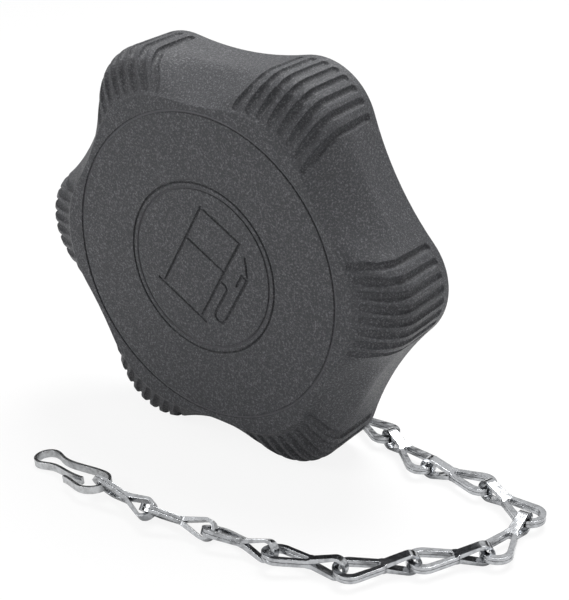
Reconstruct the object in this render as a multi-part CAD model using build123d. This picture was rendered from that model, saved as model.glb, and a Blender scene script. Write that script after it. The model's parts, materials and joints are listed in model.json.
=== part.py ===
from build123d import *
import math
import os

# Fuel filler cap with tether chain and snap hook, millimetres.
# Origin on the cap axis in the seal plane, where the gasket meets the neck rim.
# The face looks to -Y, the filler neck comes from +Y, +Z is up.
# A depth is a distance behind the face.

# cap shell
FACE_Y = -13.3
CAP_DEPTH = 25.3
LOBE_R = 63.0
VALLEY_R = 54.6
LOBE_ARC = 18.3
WALL = 2.6
PLATE = 4.0
POCKET_DEPTH = 12.4
POCKET_TOP = 8.4

# crown, from the face's edge to the wall
FACE_LOBE_R = 49.8
FACE_VALLEY_R = 46.4
# depth, share of the way out at the lobe and at the valley, lobe arc
CROWN = [
    (0.0, 0.0, 0.0, 28.0),
    (2.2, 5.4 / 13.2, 1.5 / 8.2, 20.0),
    (5.2, 11.1 / 13.2, 3.6 / 8.2, 16.5),
    (8.4, 12.9 / 13.2, 5.9 / 8.2, 17.5),
    (11.6, 1.0, 7.8 / 8.2, LOBE_ARC),
    (14.5, 1.0, 1.0, LOBE_ARC),
]

# lines and sign on the face
FACE_RING_R = 44.4
INNER_RING_R = 24.8
INNER_RING_GAP = 1.6
INNER_LINE_W = 0.6
LINE_W = 0.8
LINE_DEPTH = 0.45
SIGN_TURN = -30.0
PUMP_W = 15.0
PUMP_TOP = 16.2
PUMP_FOOT = -13.4
PUMP_MID = -1.0
PUMP_LINE = 4.8
FOOT_REACH = 1.9
HOSE_R = 1.9
HOSE_AWAY = 3.2
HOSE_TOP = 1.5
HOSE_LOW = -8.0
NOZZLE_TOP = 13.5
NOZZLE_BEND = 8.5
NOZZLE_LEAN = 3.6
HANDLE_W = 2.0
HANDLE_LOW = 4.2
HANDLE_TOP = 8.2

# grip grooves, the same row on each lobe
GRIP_COUNT = 8
GRIP_PITCH = 3.6
GRIP_CUT_R = 1.25
GRIP_LIFT = 0.4
GRIP_START = 0.45
GRIP_END = 2.2

# hollow back of the shell
COLLAR_IN = 47.5
COLLAR_OUT = 50.0
COLLAR_DEPTH = 22.5
RIB_T = 1.6
RIB_AT = 6.0
RIB_DEPTH = 10.0
RIB_TALL = 10.0
RIB_BITE = 0.5
RIB_SHORT = 2.9
BOSS_AT = 24.0
BOSS_R = 4.6
BOSS_HOLE_DEPTH = 8.0

# gasket and its seat
SEAT_IN = 38.4
SEAT_WALL = 1.6
SEAT_LOW = 0.6
GASKET_T = 2.6
GASKET_GAP = 0.05
GASKET_LINE_AT = 1.2
GASKET_LINE_W = 0.8
GASKET_LINE_DEPTH = 0.35

# bayonet cup
CUP_R = 36.0
CUP_T = 1.6
CUP_BASE_T = 2.0
CUP_BACK = 29.0
CUP_ROUND = 2.2
LUG_REACH = 40.0
LUG_W = 18.0
LUG_T = 2.2
LUG_DEPTH = 22.0

# cup screws
SCREW_R = 2.0
SCREW_GAP = 0.3
SCREW_REACH = 14.0
SCREW_HEAD_R = 4.0
SCREW_HEAD_T = 2.4
SCREW_HEAD_ROUND = 1.2
CROSS_L = 4.6
CROSS_W = 0.9
CROSS_DEPTH = 1.2

# vent umbrella
VENT_AT = 18.0
VENT_DEG = 30.0
VENT_STEM_R = 1.5
VENT_R = 6.0
VENT_T = 1.0
VENT_BULB_R = 2.3
VENT_BULB_T = 1.6
VENT_HUB_R = 2.4
VENT_HUB_T = 1.7
VENT_HOLE_AT = 3.6
VENT_HOLE_R = 0.8

# swivel eye and washer
SHANK_R = 2.0
SHANK_GAP = 0.08
RUN_GAP = 0.1
POST_R = 1.8
EYE_R = 4.2
EYE_WIRE_R = 1.0
EYE_D = 39.4
WASHER_R = 5.0
WASHER_T = 0.8
SHOULDER_R = 3.4
SHOULDER_T = 1.2
RIVET_R = 4.0
RIVET_T = 1.4

# chain link: strip folded in two, with a bight at one end and a hole at the other
LINK_PITCH = 19.0
STRIP_T = 0.9
LAYER_GAP = 0.12
BIGHT_IN = 2.1
BIGHT_W = 2.7
BIGHT_TIP = 6.4
BIGHT_TIP_OUT = 4.5
NECK_W = 3.8
NECK_PAST = 1.2
SHAFT_PAST = 2.2
HOLE_R = 2.8
HOLE_TIP = 8.0
HOLE_TIP_R = 0.7
RIM_W = 1.6
RIM_R = HOLE_R + RIM_W / 2

# how each link lies, from the cap to the hook: heading, pitch and roll in degrees
LINKS = [
    (0, -76.9, 0),
    (-8, -66.4, 0),
    (-12.5, -47.0, 0),
    (-14.5, 0, 0),
    (-24.5, 0, 0),
    (0, 0, 0),
    (-18, 0, 0),
    (-87, 0, 0),
    (-133.5, 0, 0),
    (-132, 0.7, 0),
    (-164, 1, 10),
    (-177, -0.9, 27),
    (-171, 3.5, 44),
    (-186, 2, 59),
]

# snap hook: its strip seen from above, tongue first, from the middle of its far end
HOOK_PATH = [
    (22.7, -5.0),
    (15.1, -4.0),
    (8.3, -3.1),
    (4.3, -3.7),
    (1.7, -2.7),
    (0.5, 0.0),
    (1.8, 2.5),
    (5.0, 3.1),
    (9.0, 1.5),
    (17.5, 0.4),
    (24.7, 0.4),
    (28.6, -0.5),
    (30.6, -2.5),
    (30.85, -4.5),
    (29.8, -6.9),
    (26.6, -8.6),
    (20.6, -7.4),
    (16.9, -6.6),
]
HOOK_LIFT = 6.2
HOOK_T = 0.9
HOOK_W = 2.1

# from the middle of the last link's hole to the hook's far end, where it lies down
HOOK_FROM_HOLE = (-31.2313, 4.4858, -4.5174)


def depth(d):
    return FACE_Y + d


def facing(d):
    return Plane((0, depth(d), 0), x_dir=(1, 0, 0), z_dir=(0, -1, 0))


def disc(r, d0, d1, x=0.0, z=0.0):
    return facing(d1) * Pos(x, z, 0) * extrude(Circle(r), d1 - d0)


def ring(r_in, r_out, d0, d1):
    return disc(r_out, d0, d1) - disc(r_in, d0 - 1, d1 + 1)


def polar(r, deg):
    return (r * math.cos(math.radians(deg)), r * math.sin(math.radians(deg)))


def lobed(r_lobe, r_valley, arc):
    # six lobe arcs joined tangentially by six valley arcs
    c = r_lobe - arc
    k = math.cos(math.radians(30))
    far = (r_valley**2 + c * c - 2 * r_valley * c * k - arc * arc) / (
        2 * (arc - r_valley + c * k)
    )
    away = r_valley + far
    lean = math.degrees(math.atan2(away * 0.5, away * k - c))
    edges = []
    for n in range(6):
        here = Vector(*polar(c, 60 * n))
        there = Vector(*polar(c, 60 * n + 60))
        a = here + Vector(*polar(arc, 60 * n - lean))
        b = Vector(*polar(r_lobe, 60 * n))
        e = here + Vector(*polar(arc, 60 * n + lean))
        v = Vector(*polar(r_valley, 60 * n + 30))
        f = there + Vector(*polar(arc, 60 * n + 60 - lean))
        edges.append(ThreePointArc(a, b, e))
        edges.append(ThreePointArc(e, v, f))
    return make_face(edges)


def section(n):
    # depth, lobe radius, valley radius and lobe arc radius of one crown section
    d, lobe_out, valley_out, arc = CROWN[n]
    lobe = FACE_LOBE_R + lobe_out * (LOBE_R - FACE_LOBE_R)
    valley = FACE_VALLEY_R + valley_out * (VALLEY_R - FACE_VALLEY_R)
    return d, lobe, valley, arc


def crown():
    sections = [section(n) for n in range(len(CROWN))]
    dome = loft([facing(d) * lobed(rl, rv, a) for d, rl, rv, a in sections])
    skirt_d = CROWN[-1][0]
    skirt = facing(CAP_DEPTH) * lobed(LOBE_R, VALLEY_R, LOBE_ARC)
    return dome + extrude(skirt, CAP_DEPTH - skirt_d)


def grip_cut(t):
    # one groove at offset t from the lobe's middle, over the slope and down the wall
    def at(n):
        d, rl, rv, a = section(n)
        return rl - a + math.sqrt(a * a - t * t)

    start = at(0) + GRIP_START * (at(1) - at(0))
    points = [
        (start, depth(1.0) - GRIP_LIFT),
        (at(2) + 0.1, depth(CROWN[2][0]) - GRIP_LIFT - 0.1),
        (at(3) + GRIP_LIFT, depth(CROWN[3][0] + 0.5)),
        (at(4) + GRIP_LIFT, depth(CAP_DEPTH - GRIP_END - GRIP_CUT_R)),
    ]
    cut = Pos(points[0][0], points[0][1], t) * Sphere(GRIP_CUT_R)
    for a, b in zip(points, points[1:]):
        way = Vector(b[0] - a[0], b[1] - a[1], 0)
        along = Plane(origin=(a[0], a[1], t), z_dir=way)
        low = (Align.CENTER, Align.CENTER, Align.MIN)
        cut += along * Cylinder(GRIP_CUT_R, way.length, align=low)
        cut += Pos(b[0], b[1], t) * Sphere(GRIP_CUT_R)
    return cut


def grips():
    row = [grip_cut((n - (GRIP_COUNT - 1) / 2) * GRIP_PITCH) for n in range(GRIP_COUNT)]
    return [Rot(0, 60 * k, 0) * c for c in row for k in range(6)]


def stroke(points, width):
    # an engraved line of even width through the points
    out = []
    for a, b in zip(points, points[1:]):
        v = Vector(*b) - Vector(*a)
        mid = (Vector(*a) + Vector(*b)) / 2
        turn = math.degrees(math.atan2(v.Y, v.X))
        out.append(Pos(mid.X, mid.Y) * Rot(0, 0, turn) * SlotCenterToCenter(v.length, width))
    return out


def pump_sign():
    # a plain sign of its own: body, display line, foot, hose and nozzle
    left = PUMP_MID - PUMP_W / 2
    right = PUMP_MID + PUMP_W / 2
    body = [(left, PUMP_FOOT), (left, PUMP_TOP), (right, PUMP_TOP), (right, PUMP_FOOT)]
    marks = stroke(body, LINE_W)
    marks += stroke([(left, PUMP_LINE), (right, PUMP_LINE)], LINE_W)
    marks += stroke([(left - FOOT_REACH, PUMP_FOOT), (right + FOOT_REACH, PUMP_FOOT)], LINE_W)
    hose_x = right + HOSE_AWAY
    hose = [(right, HOSE_TOP), (hose_x - 1.0, HOSE_TOP), (hose_x, HOSE_TOP - 1.0), (hose_x, HOSE_LOW)]
    marks += stroke(hose, LINE_W)
    turn_x = hose_x + HOSE_R
    bend = Circle(HOSE_R + LINE_W / 2) - Circle(HOSE_R - LINE_W / 2)
    half = Rectangle(4 * HOSE_R, 2 * HOSE_R, align=(Align.CENTER, Align.MAX))
    marks.append(Pos(turn_x, HOSE_LOW) * (bend & half))
    up_x = turn_x + HOSE_R
    marks += stroke([(up_x, HOSE_LOW), (up_x, NOZZLE_BEND), (up_x - NOZZLE_LEAN, NOZZLE_TOP)], LINE_W)
    grip_x = up_x - HANDLE_W
    marks += stroke([(grip_x, HANDLE_LOW), (grip_x, HANDLE_TOP), (up_x, HANDLE_TOP)], LINE_W)
    return marks


def engraved(marks):
    sign = marks[0]
    for m in marks[1:]:
        sign = sign + m
    return extrude(facing(0) * sign, LINE_DEPTH, both=True)


def cap_shell():
    body = crown()
    body -= grips()
    pocket = facing(CAP_DEPTH) * extrude(
        lobed(LOBE_R - WALL, VALLEY_R - WALL, LOBE_ARC - WALL),
        CAP_DEPTH - POCKET_DEPTH,
    )
    narrower = lobed(LOBE_R - 4.4, VALLEY_R - 8.6, LOBE_ARC - 5.3)
    deeper = facing(POCKET_DEPTH + 0.2) * extrude(narrower, POCKET_DEPTH + 0.2 - POCKET_TOP)
    hollow = (pocket + deeper) - disc(COLLAR_OUT, 0, CAP_DEPTH + 1)
    body -= hollow
    body -= disc(COLLAR_IN, -FACE_Y, CAP_DEPTH + 1)
    body -= disc(COLLAR_OUT + 1, COLLAR_DEPTH, CAP_DEPTH + 1)
    body -= ring(SEAT_IN + SEAT_WALL, COLLAR_IN, -FACE_Y - GASKET_T, -FACE_Y + 1)
    body -= disc(SEAT_IN, PLATE, CAP_DEPTH)
    body -= ring(SEAT_IN - 1, SEAT_IN + SEAT_WALL, -FACE_Y - SEAT_LOW, -FACE_Y + 1)
    for k in range(3):
        x, z = polar(BOSS_AT, 90 + 120 * k)
        post = disc(BOSS_R, PLATE - 1, CUP_BACK - CUP_BASE_T, x, z)
        body += post - disc(SCREW_R, BOSS_HOLE_DEPTH, CUP_BACK, x, z)
    for k in range(6):
        for side in (-1, 1):
            span = LOBE_R - RIB_SHORT - COLLAR_OUT + RIB_BITE
            rib = Box(span, RIB_TALL, RIB_T, align=(Align.MIN, Align.MIN, Align.CENTER))
            rib = Pos(COLLAR_OUT - RIB_BITE, depth(RIB_DEPTH), side * RIB_AT) * rib
            body += Rot(0, 60 * k, 0) * rib
    body -= ring(FACE_RING_R - LINE_W / 2, FACE_RING_R + LINE_W / 2, -1, LINE_DEPTH)
    for r in (INNER_RING_R, INNER_RING_R - INNER_RING_GAP):
        body -= ring(r - INNER_LINE_W / 2, r + INNER_LINE_W / 2, -1, LINE_DEPTH)
    turned = [Rot(0, 0, SIGN_TURN) * m for m in pump_sign()]
    body -= engraved(turned)
    return body


def sealing_gasket():
    inner = SEAT_IN + SEAT_WALL + GASKET_GAP
    outer = COLLAR_IN - GASKET_GAP
    back = -FACE_Y
    pad = ring(inner, outer, back - GASKET_T, back)
    near = GASKET_LINE_AT
    far = GASKET_LINE_AT + GASKET_LINE_W
    pad -= ring(inner + near, inner + far, back - GASKET_LINE_DEPTH, back + 1)
    pad -= ring(outer - far, outer - near, back - GASKET_LINE_DEPTH, back + 1)
    return pad


def bayonet_cup():
    wall = ring(CUP_R - CUP_T, CUP_R, PLATE, CUP_BACK)
    base = disc(CUP_R, CUP_BACK - CUP_BASE_T, CUP_BACK)
    cup = wall + base
    rim = cup.edges().filter_by(GeomType.CIRCLE).filter_by(lambda e: abs(e.radius - CUP_R) < 1e-3)
    cup = fillet(rim.sort_by(Axis.Y)[-1:], CUP_ROUND)
    for k in range(3):
        lug = Pos(CUP_R - CUP_T, depth(LUG_DEPTH), 0) * Box(
            LUG_REACH - CUP_R + CUP_T, LUG_T, LUG_W, align=(Align.MIN, Align.MIN, Align.CENTER)
        )
        lug &= disc(LUG_REACH, LUG_DEPTH - 1, LUG_DEPTH + LUG_T + 1)
        cup += Rot(0, 90 + 120 * k, 0) * lug
    for k in range(3):
        x, z = polar(BOSS_AT, 90 + 120 * k)
        cup -= disc(SCREW_R + SCREW_GAP, CUP_BACK - 5, CUP_BACK + 1, x, z)
    cup -= disc(SHANK_R + SHANK_GAP, CUP_BACK - 5, CUP_BACK + 1)
    x, z = polar(VENT_AT, VENT_DEG)
    cup -= disc(VENT_STEM_R, CUP_BACK - 5, CUP_BACK + 1, x, z)
    for k in range(4):
        hx, hz = polar(VENT_HOLE_AT, 45 + 90 * k)
        cup -= disc(VENT_HOLE_R, CUP_BACK - 5, CUP_BACK + 1, x + hx, z + hz)
    return cup


def vent_umbrella():
    x, z = polar(VENT_AT, VENT_DEG)
    inside = CUP_BACK - CUP_BASE_T
    stem = disc(VENT_STEM_R, inside - 2, CUP_BACK + 0.6, x, z)
    bulb = disc(VENT_BULB_R, CUP_BACK, CUP_BACK + VENT_BULB_T, x, z)
    sheet = disc(VENT_R, inside - VENT_T, inside, x, z)
    hub_low = inside - VENT_T / 2
    hub = disc(VENT_HUB_R, hub_low - VENT_HUB_T, hub_low, x, z)
    return stem + bulb + sheet + hub


def cup_screw(k):
    x, z = polar(BOSS_AT, 90 + 120 * k)
    stem = disc(SCREW_R, CUP_BACK - SCREW_REACH, CUP_BACK + 1, x, z)
    head = disc(SCREW_HEAD_R, CUP_BACK, CUP_BACK + SCREW_HEAD_T, x, z)
    head = fillet(head.edges().sort_by(Axis.Y)[-1:], SCREW_HEAD_ROUND)
    slot_a = Pos(x, depth(CUP_BACK + SCREW_HEAD_T), z) * Box(CROSS_L, 2 * CROSS_DEPTH, CROSS_W)
    slot_b = Pos(x, depth(CUP_BACK + SCREW_HEAD_T), z) * Box(CROSS_W, 2 * CROSS_DEPTH, CROSS_L)
    return (stem + head) - slot_a - slot_b


def swivel_eye():
    inside = CUP_BACK - CUP_BASE_T - RUN_GAP
    seat = CUP_BACK + WASHER_T + 2 * RUN_GAP
    rivet = disc(RIVET_R, inside - RIVET_T, inside)
    shank = disc(SHANK_R, inside - 0.5, seat + 0.5)
    shoulder = disc(SHOULDER_R, seat, seat + SHOULDER_T)
    post = disc(POST_R, seat, EYE_D - EYE_R)
    loop = Pos(0, depth(EYE_D), 0) * Rot(0, 90, 0) * Torus(EYE_R, EYE_WIRE_R)
    return rivet + shank + shoulder + post + loop


def swivel_washer():
    low = CUP_BACK + RUN_GAP
    return ring(SHANK_R + SHANK_GAP, WASHER_R, low, low + WASHER_T)


def link():
    # local frame: x from the bight seat to the hole end, y across, z through
    half = LAYER_GAP / 2
    outer = BIGHT_IN + STRIP_T
    centre = LINK_PITCH - RIM_R

    def drop(r, tip):
        # a drop-shaped loop closing to a pointed neck
        a = math.acos(r / tip)
        top = (r * math.cos(a), r * math.sin(a))
        low = (top[0], -top[1])
        return make_face([ThreePointArc(top, (-r, 0), low), Line(low, (tip, 0)), Line((tip, 0), top)])

    side_out = drop(outer, BIGHT_TIP + BIGHT_TIP_OUT)
    side_in = drop(BIGHT_IN, BIGHT_TIP)
    flat = Pos((BIGHT_TIP + LINK_PITCH) / 2, 0) * Rectangle(LINK_PITCH - BIGHT_TIP + 8, 2 * (half + STRIP_T))
    tail = Pos(LINK_PITCH - 2, 0) * Rectangle(26, 2 * (half + STRIP_T), align=(Align.CENTER, Align.CENTER))
    trim = Rectangle(60, 2 * outer, align=(Align.MIN, Align.CENTER))
    profile = side_out + (flat + tail) & (Pos(-outer - 1, 0) * trim)
    profile -= side_in
    profile -= Pos(BIGHT_TIP - 0.4, 0) * Rectangle(40, LAYER_GAP, align=(Align.MIN, Align.CENTER))
    r = HOLE_R + RIM_W
    body = extrude(Plane.XZ * profile, r, both=True)
    neck = Pos(BIGHT_TIP + NECK_PAST, 0) * Circle(NECK_W / 2)
    eye = make_hull([(Pos(centre, 0) * Circle(r)).edge(), neck.edge()])
    reach = BIGHT_TIP + outer + SHAFT_PAST
    shaft = Pos(-outer - 1, 0) * Rectangle(reach, BIGHT_W, align=(Align.MIN, Align.CENTER))
    plan = eye + shaft
    body &= extrude(plan, 10, both=True)
    tip = Pos(HOLE_TIP, 0) * Circle(HOLE_TIP_R)
    hole = make_hull([(Pos(centre, 0) * Circle(HOLE_R)).edge(), tip.edge()])
    body -= extrude(hole, 10, both=True)
    return body


def chain_places():
    # each link's frame: its bight holds the rim of the one before
    seat = Vector(0, depth(EYE_D), -EYE_R)
    turns = [Rot(0, 0, h) * Rot(0, -p, 0) * Rot(r, 0, 0) for h, p, r in LINKS]
    places = []
    for n, turn in enumerate(turns):
        frame = Plane(turn)
        places.append(Pos(*seat) * turn)
        if n + 1 < len(turns):
            ahead = Plane(turns[n + 1]).x_dir
            ahead = (ahead - frame.z_dir * ahead.dot(frame.z_dir)).normalized()
            seat = seat + frame.x_dir * (LINK_PITCH - RIM_R) + ahead * RIM_R
    return places


def snap_hook(last_link):
    # laid out about its far end, lifted there to reach the last link's hole
    points = [(x, y, HOOK_W / 2) for x, y in HOOK_PATH]
    path = Spline(*points)
    start = Plane(origin=path @ 0, z_dir=path % 0, x_dir=(0, 0, 1))
    strip = sweep(start * Rectangle(HOOK_W, HOOK_T), path=path)
    hole = (last_link * Pos(LINK_PITCH - RIM_R, 0, 0)).position
    return Pos(*(hole + Vector(*HOOK_FROM_HOLE))) * Rot(0, -HOOK_LIFT, 0) * strip


def write(shape, name):
    found = shape.solids()
    box = shape.bounding_box()
    print(name, [round(s.volume) for s in found], box)
    export_step(found[0] if len(found) == 1 else shape, "parts/" + name + ".step")


os.makedirs("parts", exist_ok=True)
write(cap_shell(), "cap_shell")
write(sealing_gasket(), "sealing_gasket")
write(bayonet_cup(), "bayonet_cup")
for k in range(3):
    write(cup_screw(k), f"cup_screw_{k + 1}")
write(vent_umbrella(), "vent_umbrella")
write(swivel_eye(), "swivel_eye")
write(swivel_washer(), "swivel_washer")
one_link = link()
chain = chain_places()
for n, place in enumerate(chain, 1):
    write(place * one_link, f"link_{n:02d}")
write(snap_hook(chain[-1]), "snap_hook")
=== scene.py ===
import bpy
import json
import math
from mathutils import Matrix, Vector


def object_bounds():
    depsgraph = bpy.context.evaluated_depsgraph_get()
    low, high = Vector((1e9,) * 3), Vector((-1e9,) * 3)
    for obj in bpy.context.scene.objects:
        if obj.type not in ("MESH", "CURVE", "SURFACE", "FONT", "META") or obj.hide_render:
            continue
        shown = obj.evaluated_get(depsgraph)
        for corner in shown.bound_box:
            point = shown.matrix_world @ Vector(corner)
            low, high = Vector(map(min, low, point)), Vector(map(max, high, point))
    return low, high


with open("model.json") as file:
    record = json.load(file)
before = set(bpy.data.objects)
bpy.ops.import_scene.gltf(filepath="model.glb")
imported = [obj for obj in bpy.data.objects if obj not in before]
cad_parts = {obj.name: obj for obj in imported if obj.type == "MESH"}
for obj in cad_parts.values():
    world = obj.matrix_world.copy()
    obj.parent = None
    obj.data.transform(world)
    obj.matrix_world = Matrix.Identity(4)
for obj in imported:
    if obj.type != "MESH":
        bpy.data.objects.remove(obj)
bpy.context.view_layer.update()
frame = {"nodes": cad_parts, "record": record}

# Looks of a black moulded filler cap and its bright steel tether chain.
# Lengths are in metres, and the scale of a noise is its cells per metre.

CAM_PLACE = (0.24397, -0.29290, 0.16816)
CAM_TURN = (64.28, 1.523, 36.926)
CAM_LENS = 89.5
CAM_SENSOR = 36
CAM_NEAR = 0.01

SMOOTH_BELOW = 32  # degrees between two faces that shade as one
BEVEL_SAMPLES = 6

# shell: spark-eroded grain, polished on its crests; its colour is the grain's own tone
# with painted shade in the pits and a painted highlight on the crests
GRAIN_SCALE = 2000
GRAIN_HEIGHT = 0.00014
FINE_SCALE = 3200
FINE_HEIGHT = 0.00005
PIT_TONE_AND_SHADE = (0.043, 0.044, 0.048)
CREST_TONE_AND_HIGHLIGHT = (0.165, 0.166, 0.176)
PIT_ROUGH = 0.62
CREST_ROUGH = 0.38
SHELL_SPECULAR = 0.28
SHELL_EDGE = 0.0005

# engraved rings on the face, their grooves painted lighter, a painted highlight against
# the grooves' shade: radius and half width
PAINTED_RING_HIGHLIGHTS = ((0.0444, 0.0003), (0.0232, 0.0003))
RING_HIGHLIGHT_TONE = (0.13, 0.13, 0.14)
FACE_BEHIND = -0.0125

# rubber
RUBBER_ROUGH = 0.6
RUBBER_SCALE = 1800
RUBBER_HEIGHT = 0.00003
RUBBER_EDGE = 0.0003
RUBBERS = {"seal_rubber": 0.025, "valve_rubber": 0.05}

# plated steel: tone, roughness, edge radius and height of the waves left by the press
SCUFF_SCALE = 700
SCUFF_SHARE = 0.7  # tone of a scuff as a share of the steel's own
SCUFF_ROUGH = 0.12
WAVE_SCALE = 320
STEELS = {
    "cup_steel": ((0.66, 0.66, 0.62), 0.28, 0.0004, 0.00002),
    "screw_steel": ((0.62, 0.62, 0.6), 0.26, 0.0002, 0.00001),
    "eye_steel": ((0.66, 0.66, 0.65), 0.2, 0.0002, 0.00003),
    "washer_steel": ((0.66, 0.66, 0.65), 0.25, 0.0002, 0.00002),
    "chain_steel": ((0.43, 0.44, 0.455), 0.1, 0.00022, 0.0001),
    "hook_steel": ((0.60, 0.61, 0.62), 0.13, 0.00018, 0.0001),
}

# floor: the share that shows as plain white, the rest keeps the shadow
FLOOR_SIZE = 6.0
FLOOR_TONE = 0.86
FLOOR_ROUGH = 0.9
FLOOR_GLOW = 0.88
FLOOR_GLOW_IN_STEEL = 0.1

# the room as a light, graded by height from the horizon to overhead
SKY_STRENGTH = 0.55
SKY_LOW = (0.75, 0.75, 0.76)
SKY_MID = (0.30, 0.30, 0.31)
SKY_TOP = (0.7, 0.7, 0.7)
SKY_MID_AT = 0.35
SKY_TOP_AT = 0.9

CENTRE = (0, 0, 0)

# dark cards seen in reflections alone, a painted reflection on the steel: place, aim,
# width, height and tone
DARK_REFLECTION_CARDS = {
    "flag_back": ((-0.16, 0.24, 0.06), (0.03, -0.013, 0.06), 0.6, 0.13, 0.03),
    "flag_right": ((0.80, 0.60, 0.65), CENTRE, 1.2, 0.7, 0.03),
    "flag_left": ((-1.0, -0.5, 0.35), CENTRE, 0.9, 0.5, 0.05),
    "flag_front": ((0.45, -1.0, 0.55), CENTRE, 0.9, 0.5, 0.04),
}

# round lamps aimed at the cap: place, diameter and watts
LAMPS = {
    "top": ((0.03, 0.32, 0.72), 0.45, 7.5),
    "key": ((-0.55, -0.65, 0.55), 0.45, 3.8),
    "side": ((0.8, -0.2, 0.35), 0.4, 1.2),
}


def node(tree, kind, **values):
    # a value is the input socket of that name, or else a setting of the node
    n = tree.nodes.new(kind)
    for key, value in values.items():
        if key in n.inputs:
            n.inputs[key].default_value = value
        else:
            setattr(n, key, value)
    return n


def material(name):
    m = bpy.data.materials.new(name)
    m.use_nodes = True
    tree = m.node_tree
    tree.nodes.clear()
    out = node(tree, "ShaderNodeOutputMaterial")
    bsdf = node(tree, "ShaderNodeBsdfPrincipled")
    tree.links.new(bsdf.outputs["BSDF"], out.inputs["Surface"])
    return m, tree, bsdf, out


def maths(tree, operation, first, second):
    # first is the output of a node, second is one too or a number
    n = node(tree, "ShaderNodeMath", operation=operation)
    tree.links.new(first, n.inputs[0])
    if isinstance(second, (int, float)):
        n.inputs[1].default_value = second
    else:
        tree.links.new(second, n.inputs[1])
    return n


def position(tree):
    # object coordinates, which are the frame's own, because every piece sits at the origin
    return node(tree, "ShaderNodeTexCoord").outputs["Object"]


def noise(tree, scale, detail, rough=0.5):
    n = node(tree, "ShaderNodeTexNoise", Scale=scale, Detail=detail, Roughness=rough)
    tree.links.new(position(tree), n.inputs["Vector"])
    return n.outputs["Fac"]


def spread(tree, value, low, high, to_low=0.0, to_high=1.0):
    n = node(tree, "ShaderNodeMapRange")
    tree.links.new(value, n.inputs["Value"])
    n.inputs["From Min"].default_value = low
    n.inputs["From Max"].default_value = high
    n.inputs["To Min"].default_value = to_low
    n.inputs["To Max"].default_value = to_high
    return n.outputs["Result"]


def mixed(tree, factor, first, second):
    # first and second are each a colour or the output of a node
    n = node(tree, "ShaderNodeMix", data_type="RGBA")
    tree.links.new(factor, n.inputs["Factor"])
    for socket, value in ((n.inputs[6], first), (n.inputs[7], second)):
        if isinstance(value, tuple):
            socket.default_value = (*value, 1)
        else:
            tree.links.new(value, socket)
    return n.outputs[2]


def near_radius(tree, radius, half):
    # 1 in a narrow ring about the cap's axis, on the face alone: the mask of a painted
    # ring highlight
    split = node(tree, "ShaderNodeSeparateXYZ")
    tree.links.new(position(tree), split.inputs["Vector"])
    flat = node(tree, "ShaderNodeCombineXYZ")
    tree.links.new(split.outputs["X"], flat.inputs["X"])
    tree.links.new(split.outputs["Z"], flat.inputs["Z"])
    length = node(tree, "ShaderNodeVectorMath", operation="LENGTH")
    tree.links.new(flat.outputs["Vector"], length.inputs[0])
    inside = maths(tree, "COMPARE", length.outputs["Value"], radius)
    inside.inputs[2].default_value = half
    front = maths(tree, "LESS_THAN", split.outputs["Y"], FACE_BEHIND)
    return maths(tree, "MULTIPLY", inside.outputs[0], front.outputs[0]).outputs[0]


def bump(tree, height, distance, normal, strength=1.0):
    n = node(tree, "ShaderNodeBump", Distance=distance, Strength=strength)
    tree.links.new(height, n.inputs["Height"])
    tree.links.new(normal, n.inputs["Normal"])
    return n.outputs["Normal"]


def rounded(tree, radius):
    n = node(tree, "ShaderNodeBevel", Radius=radius)
    n.samples = BEVEL_SAMPLES
    return n.outputs["Normal"]


def shell_plastic():
    m, tree, bsdf, out = material("shell_plastic")
    grain = noise(tree, GRAIN_SCALE, 4, 0.75)
    fine = noise(tree, FINE_SCALE, 2, 0.6)
    # the grain's tone with painted shade in its pits and a painted highlight on its crests
    colour = mixed(tree, spread(tree, grain, 0.50, 0.70), PIT_TONE_AND_SHADE, CREST_TONE_AND_HIGHLIGHT)
    # painted highlight in the engraved ring grooves
    for radius, half in PAINTED_RING_HIGHLIGHTS:
        colour = mixed(tree, near_radius(tree, radius, half), colour, RING_HIGHLIGHT_TONE)
    tree.links.new(colour, bsdf.inputs["Base Color"])
    rough = spread(tree, grain, 0.35, 0.7, PIT_ROUGH, CREST_ROUGH)
    tree.links.new(rough, bsdf.inputs["Roughness"])
    bsdf.inputs["Specular IOR Level"].default_value = SHELL_SPECULAR
    pits = bump(tree, grain, GRAIN_HEIGHT, rounded(tree, SHELL_EDGE))
    tree.links.new(bump(tree, fine, FINE_HEIGHT, pits), bsdf.inputs["Normal"])
    return m


def rubber(name, tone):
    m, tree, bsdf, out = material(name)
    bsdf.inputs["Base Color"].default_value = (tone, tone, tone * 1.05, 1)
    bsdf.inputs["Roughness"].default_value = RUBBER_ROUGH
    grain = noise(tree, RUBBER_SCALE, 2)
    normal = bump(tree, grain, RUBBER_HEIGHT, rounded(tree, RUBBER_EDGE), 0.6)
    tree.links.new(normal, bsdf.inputs["Normal"])
    return m


def steel(name, tone, rough, edge, wave):
    m, tree, bsdf, out = material(name)
    bsdf.inputs["Metallic"].default_value = 1.0
    scuff = noise(tree, SCUFF_SCALE, 3, 0.6)
    dull = tuple(c * SCUFF_SHARE for c in tone)
    colour = mixed(tree, spread(tree, scuff, 0.45, 0.65), tone, dull)
    tree.links.new(colour, bsdf.inputs["Base Color"])
    shine = spread(tree, scuff, 0.4, 0.7, rough, rough + SCUFF_ROUGH)
    tree.links.new(shine, bsdf.inputs["Roughness"])
    waves = noise(tree, WAVE_SCALE, 1)
    normal = bump(tree, waves, wave, rounded(tree, edge))
    tree.links.new(normal, bsdf.inputs["Normal"])
    return m


def smooth(obj):
    mesh = obj.data
    mesh.polygons.foreach_set("use_smooth", [True] * len(mesh.polygons))
    mesh.set_sharp_from_angle(angle=math.radians(SMOOTH_BELOW))
    mesh.update()


looks = {"shell_plastic": shell_plastic()}
looks.update({name: rubber(name, tone) for name, tone in RUBBERS.items()})
looks.update({name: steel(name, *values) for name, values in STEELS.items()})

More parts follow.
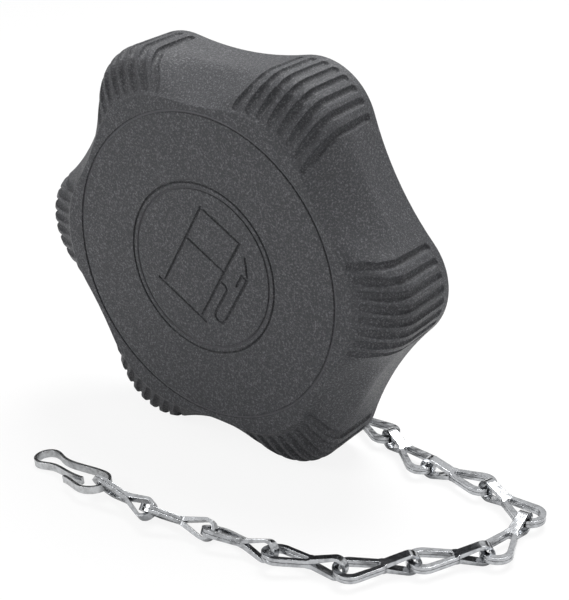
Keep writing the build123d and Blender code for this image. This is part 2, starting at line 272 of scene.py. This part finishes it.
slots = {s["node"]: s["material_slot"] for s in frame["record"]["subparts"]}
for name, obj in frame["nodes"].items():
    obj.data.materials.clear()
    obj.data.materials.append(looks[slots[name]])
    smooth(obj)

floor_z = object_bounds()[0].z


def plane(name, width, height):
    mesh = bpy.data.meshes.new(name)
    x, y = width / 2, height / 2
    mesh.from_pydata([(-x, -y, 0), (x, -y, 0), (x, y, 0), (-x, y, 0)], [], [(0, 1, 2, 3)])
    obj = bpy.data.objects.new(name, mesh)
    bpy.context.scene.collection.objects.link(obj)
    return obj


def facing(obj, place, aim):
    obj.location = place
    way = Vector(aim) - Vector(place)
    obj.rotation_euler = way.to_track_quat("-Z", "Y").to_euler()


def seen_by(tree, camera, glossy, transmission):
    # a mixing share for each kind of ray, of which the biggest counts
    path = node(tree, "ShaderNodeLightPath")
    total = maths(tree, "MULTIPLY", path.outputs["Is Camera Ray"], camera)
    for ray, share in (("Is Glossy Ray", glossy), ("Is Transmission Ray", transmission)):
        part = maths(tree, "MULTIPLY", path.outputs[ray], share)
        total = maths(tree, "MAXIMUM", total.outputs[0], part.outputs[0])
    return total.outputs[0]


def mix_shaders(tree, factor, first, second, out):
    mix = node(tree, "ShaderNodeMixShader")
    tree.links.new(factor, mix.inputs["Fac"])
    tree.links.new(first, mix.inputs[1])
    tree.links.new(second, mix.inputs[2])
    tree.links.new(mix.outputs["Shader"], out.inputs["Surface"])


def floor():
    # a white table that keeps the object's shadow
    obj = plane("floor", FLOOR_SIZE, FLOOR_SIZE)
    obj.location = (0, 0, floor_z)
    m, tree, bsdf, out = material("floor_white")
    bsdf.inputs["Base Color"].default_value = (FLOOR_TONE, FLOOR_TONE, FLOOR_TONE, 1)
    bsdf.inputs["Roughness"].default_value = FLOOR_ROUGH
    bsdf.inputs["Specular IOR Level"].default_value = 0.0
    glow = node(tree, "ShaderNodeEmission", Strength=1.0)
    factor = seen_by(tree, FLOOR_GLOW, FLOOR_GLOW_IN_STEEL, FLOOR_GLOW)
    mix_shaders(tree, factor, bsdf.outputs["BSDF"], glow.outputs["Emission"], out)
    obj.data.materials.append(m)


def dark_reflection_card(name, place, aim, width, height, tone):
    # shows in reflections alone, a painted reflection that gives the bright steel dark
    # sides
    obj = plane(name, width, height)
    facing(obj, place, aim)
    m, tree, bsdf, out = material(name)
    clear = node(tree, "ShaderNodeBsdfTransparent")
    dark = node(tree, "ShaderNodeEmission", Strength=1.0)
    dark.inputs["Color"].default_value = (tone, tone, tone, 1)
    factor = seen_by(tree, 0.0, 1.0, 0.0)
    mix_shaders(tree, factor, clear.outputs["BSDF"], dark.outputs["Emission"], out)
    obj.data.materials.append(m)


def room():
    # white for camera, glossy and transmission rays, graded by height as a light
    world = bpy.data.worlds.new("room")
    bpy.context.scene.world = world
    world.use_nodes = True
    tree = world.node_tree
    tree.nodes.clear()
    out = node(tree, "ShaderNodeOutputWorld")
    sky = node(tree, "ShaderNodeBackground", Strength=SKY_STRENGTH)
    white = node(tree, "ShaderNodeBackground", Strength=1.0)
    white.inputs["Color"].default_value = (1, 1, 1, 1)
    split = node(tree, "ShaderNodeSeparateXYZ")
    where = node(tree, "ShaderNodeTexCoord").outputs["Generated"]
    tree.links.new(where, split.inputs["Vector"])
    ramp = node(tree, "ShaderNodeValToRGB")
    tree.links.new(split.outputs["Z"], ramp.inputs["Fac"])
    stops = ramp.color_ramp.elements
    stops[0].color = (*SKY_LOW, 1)
    stops[1].position = SKY_TOP_AT
    stops[1].color = (*SKY_TOP, 1)
    stops.new(SKY_MID_AT).color = (*SKY_MID, 1)
    tree.links.new(ramp.outputs["Color"], sky.inputs["Color"])
    factor = seen_by(tree, 1.0, 1.0, 1.0)
    mix_shaders(tree, factor, sky.outputs["Background"], white.outputs["Background"], out)


def lamp(name, place, size, power):
    data = bpy.data.lights.new(name, "AREA")
    data.shape = "DISK"
    data.size = size
    data.energy = power
    obj = bpy.data.objects.new(name, data)
    facing(obj, place, CENTRE)
    bpy.context.scene.collection.objects.link(obj)


floor()
room()
# painted dark reflections for the steel
for name, values in DARK_REFLECTION_CARDS.items():
    dark_reflection_card(name, *values)
for name, values in LAMPS.items():
    lamp(name, *values)

camera = bpy.data.cameras.new("camera")
camera.lens = CAM_LENS
camera.sensor_width = CAM_SENSOR
camera.clip_start = CAM_NEAR
eye = bpy.data.objects.new("camera", camera)
eye.location = CAM_PLACE
eye.rotation_euler = [math.radians(a) for a in CAM_TURN]
bpy.context.scene.collection.objects.link(eye)
bpy.context.scene.camera = eye
bpy.context.scene.view_settings.view_transform = "Standard"
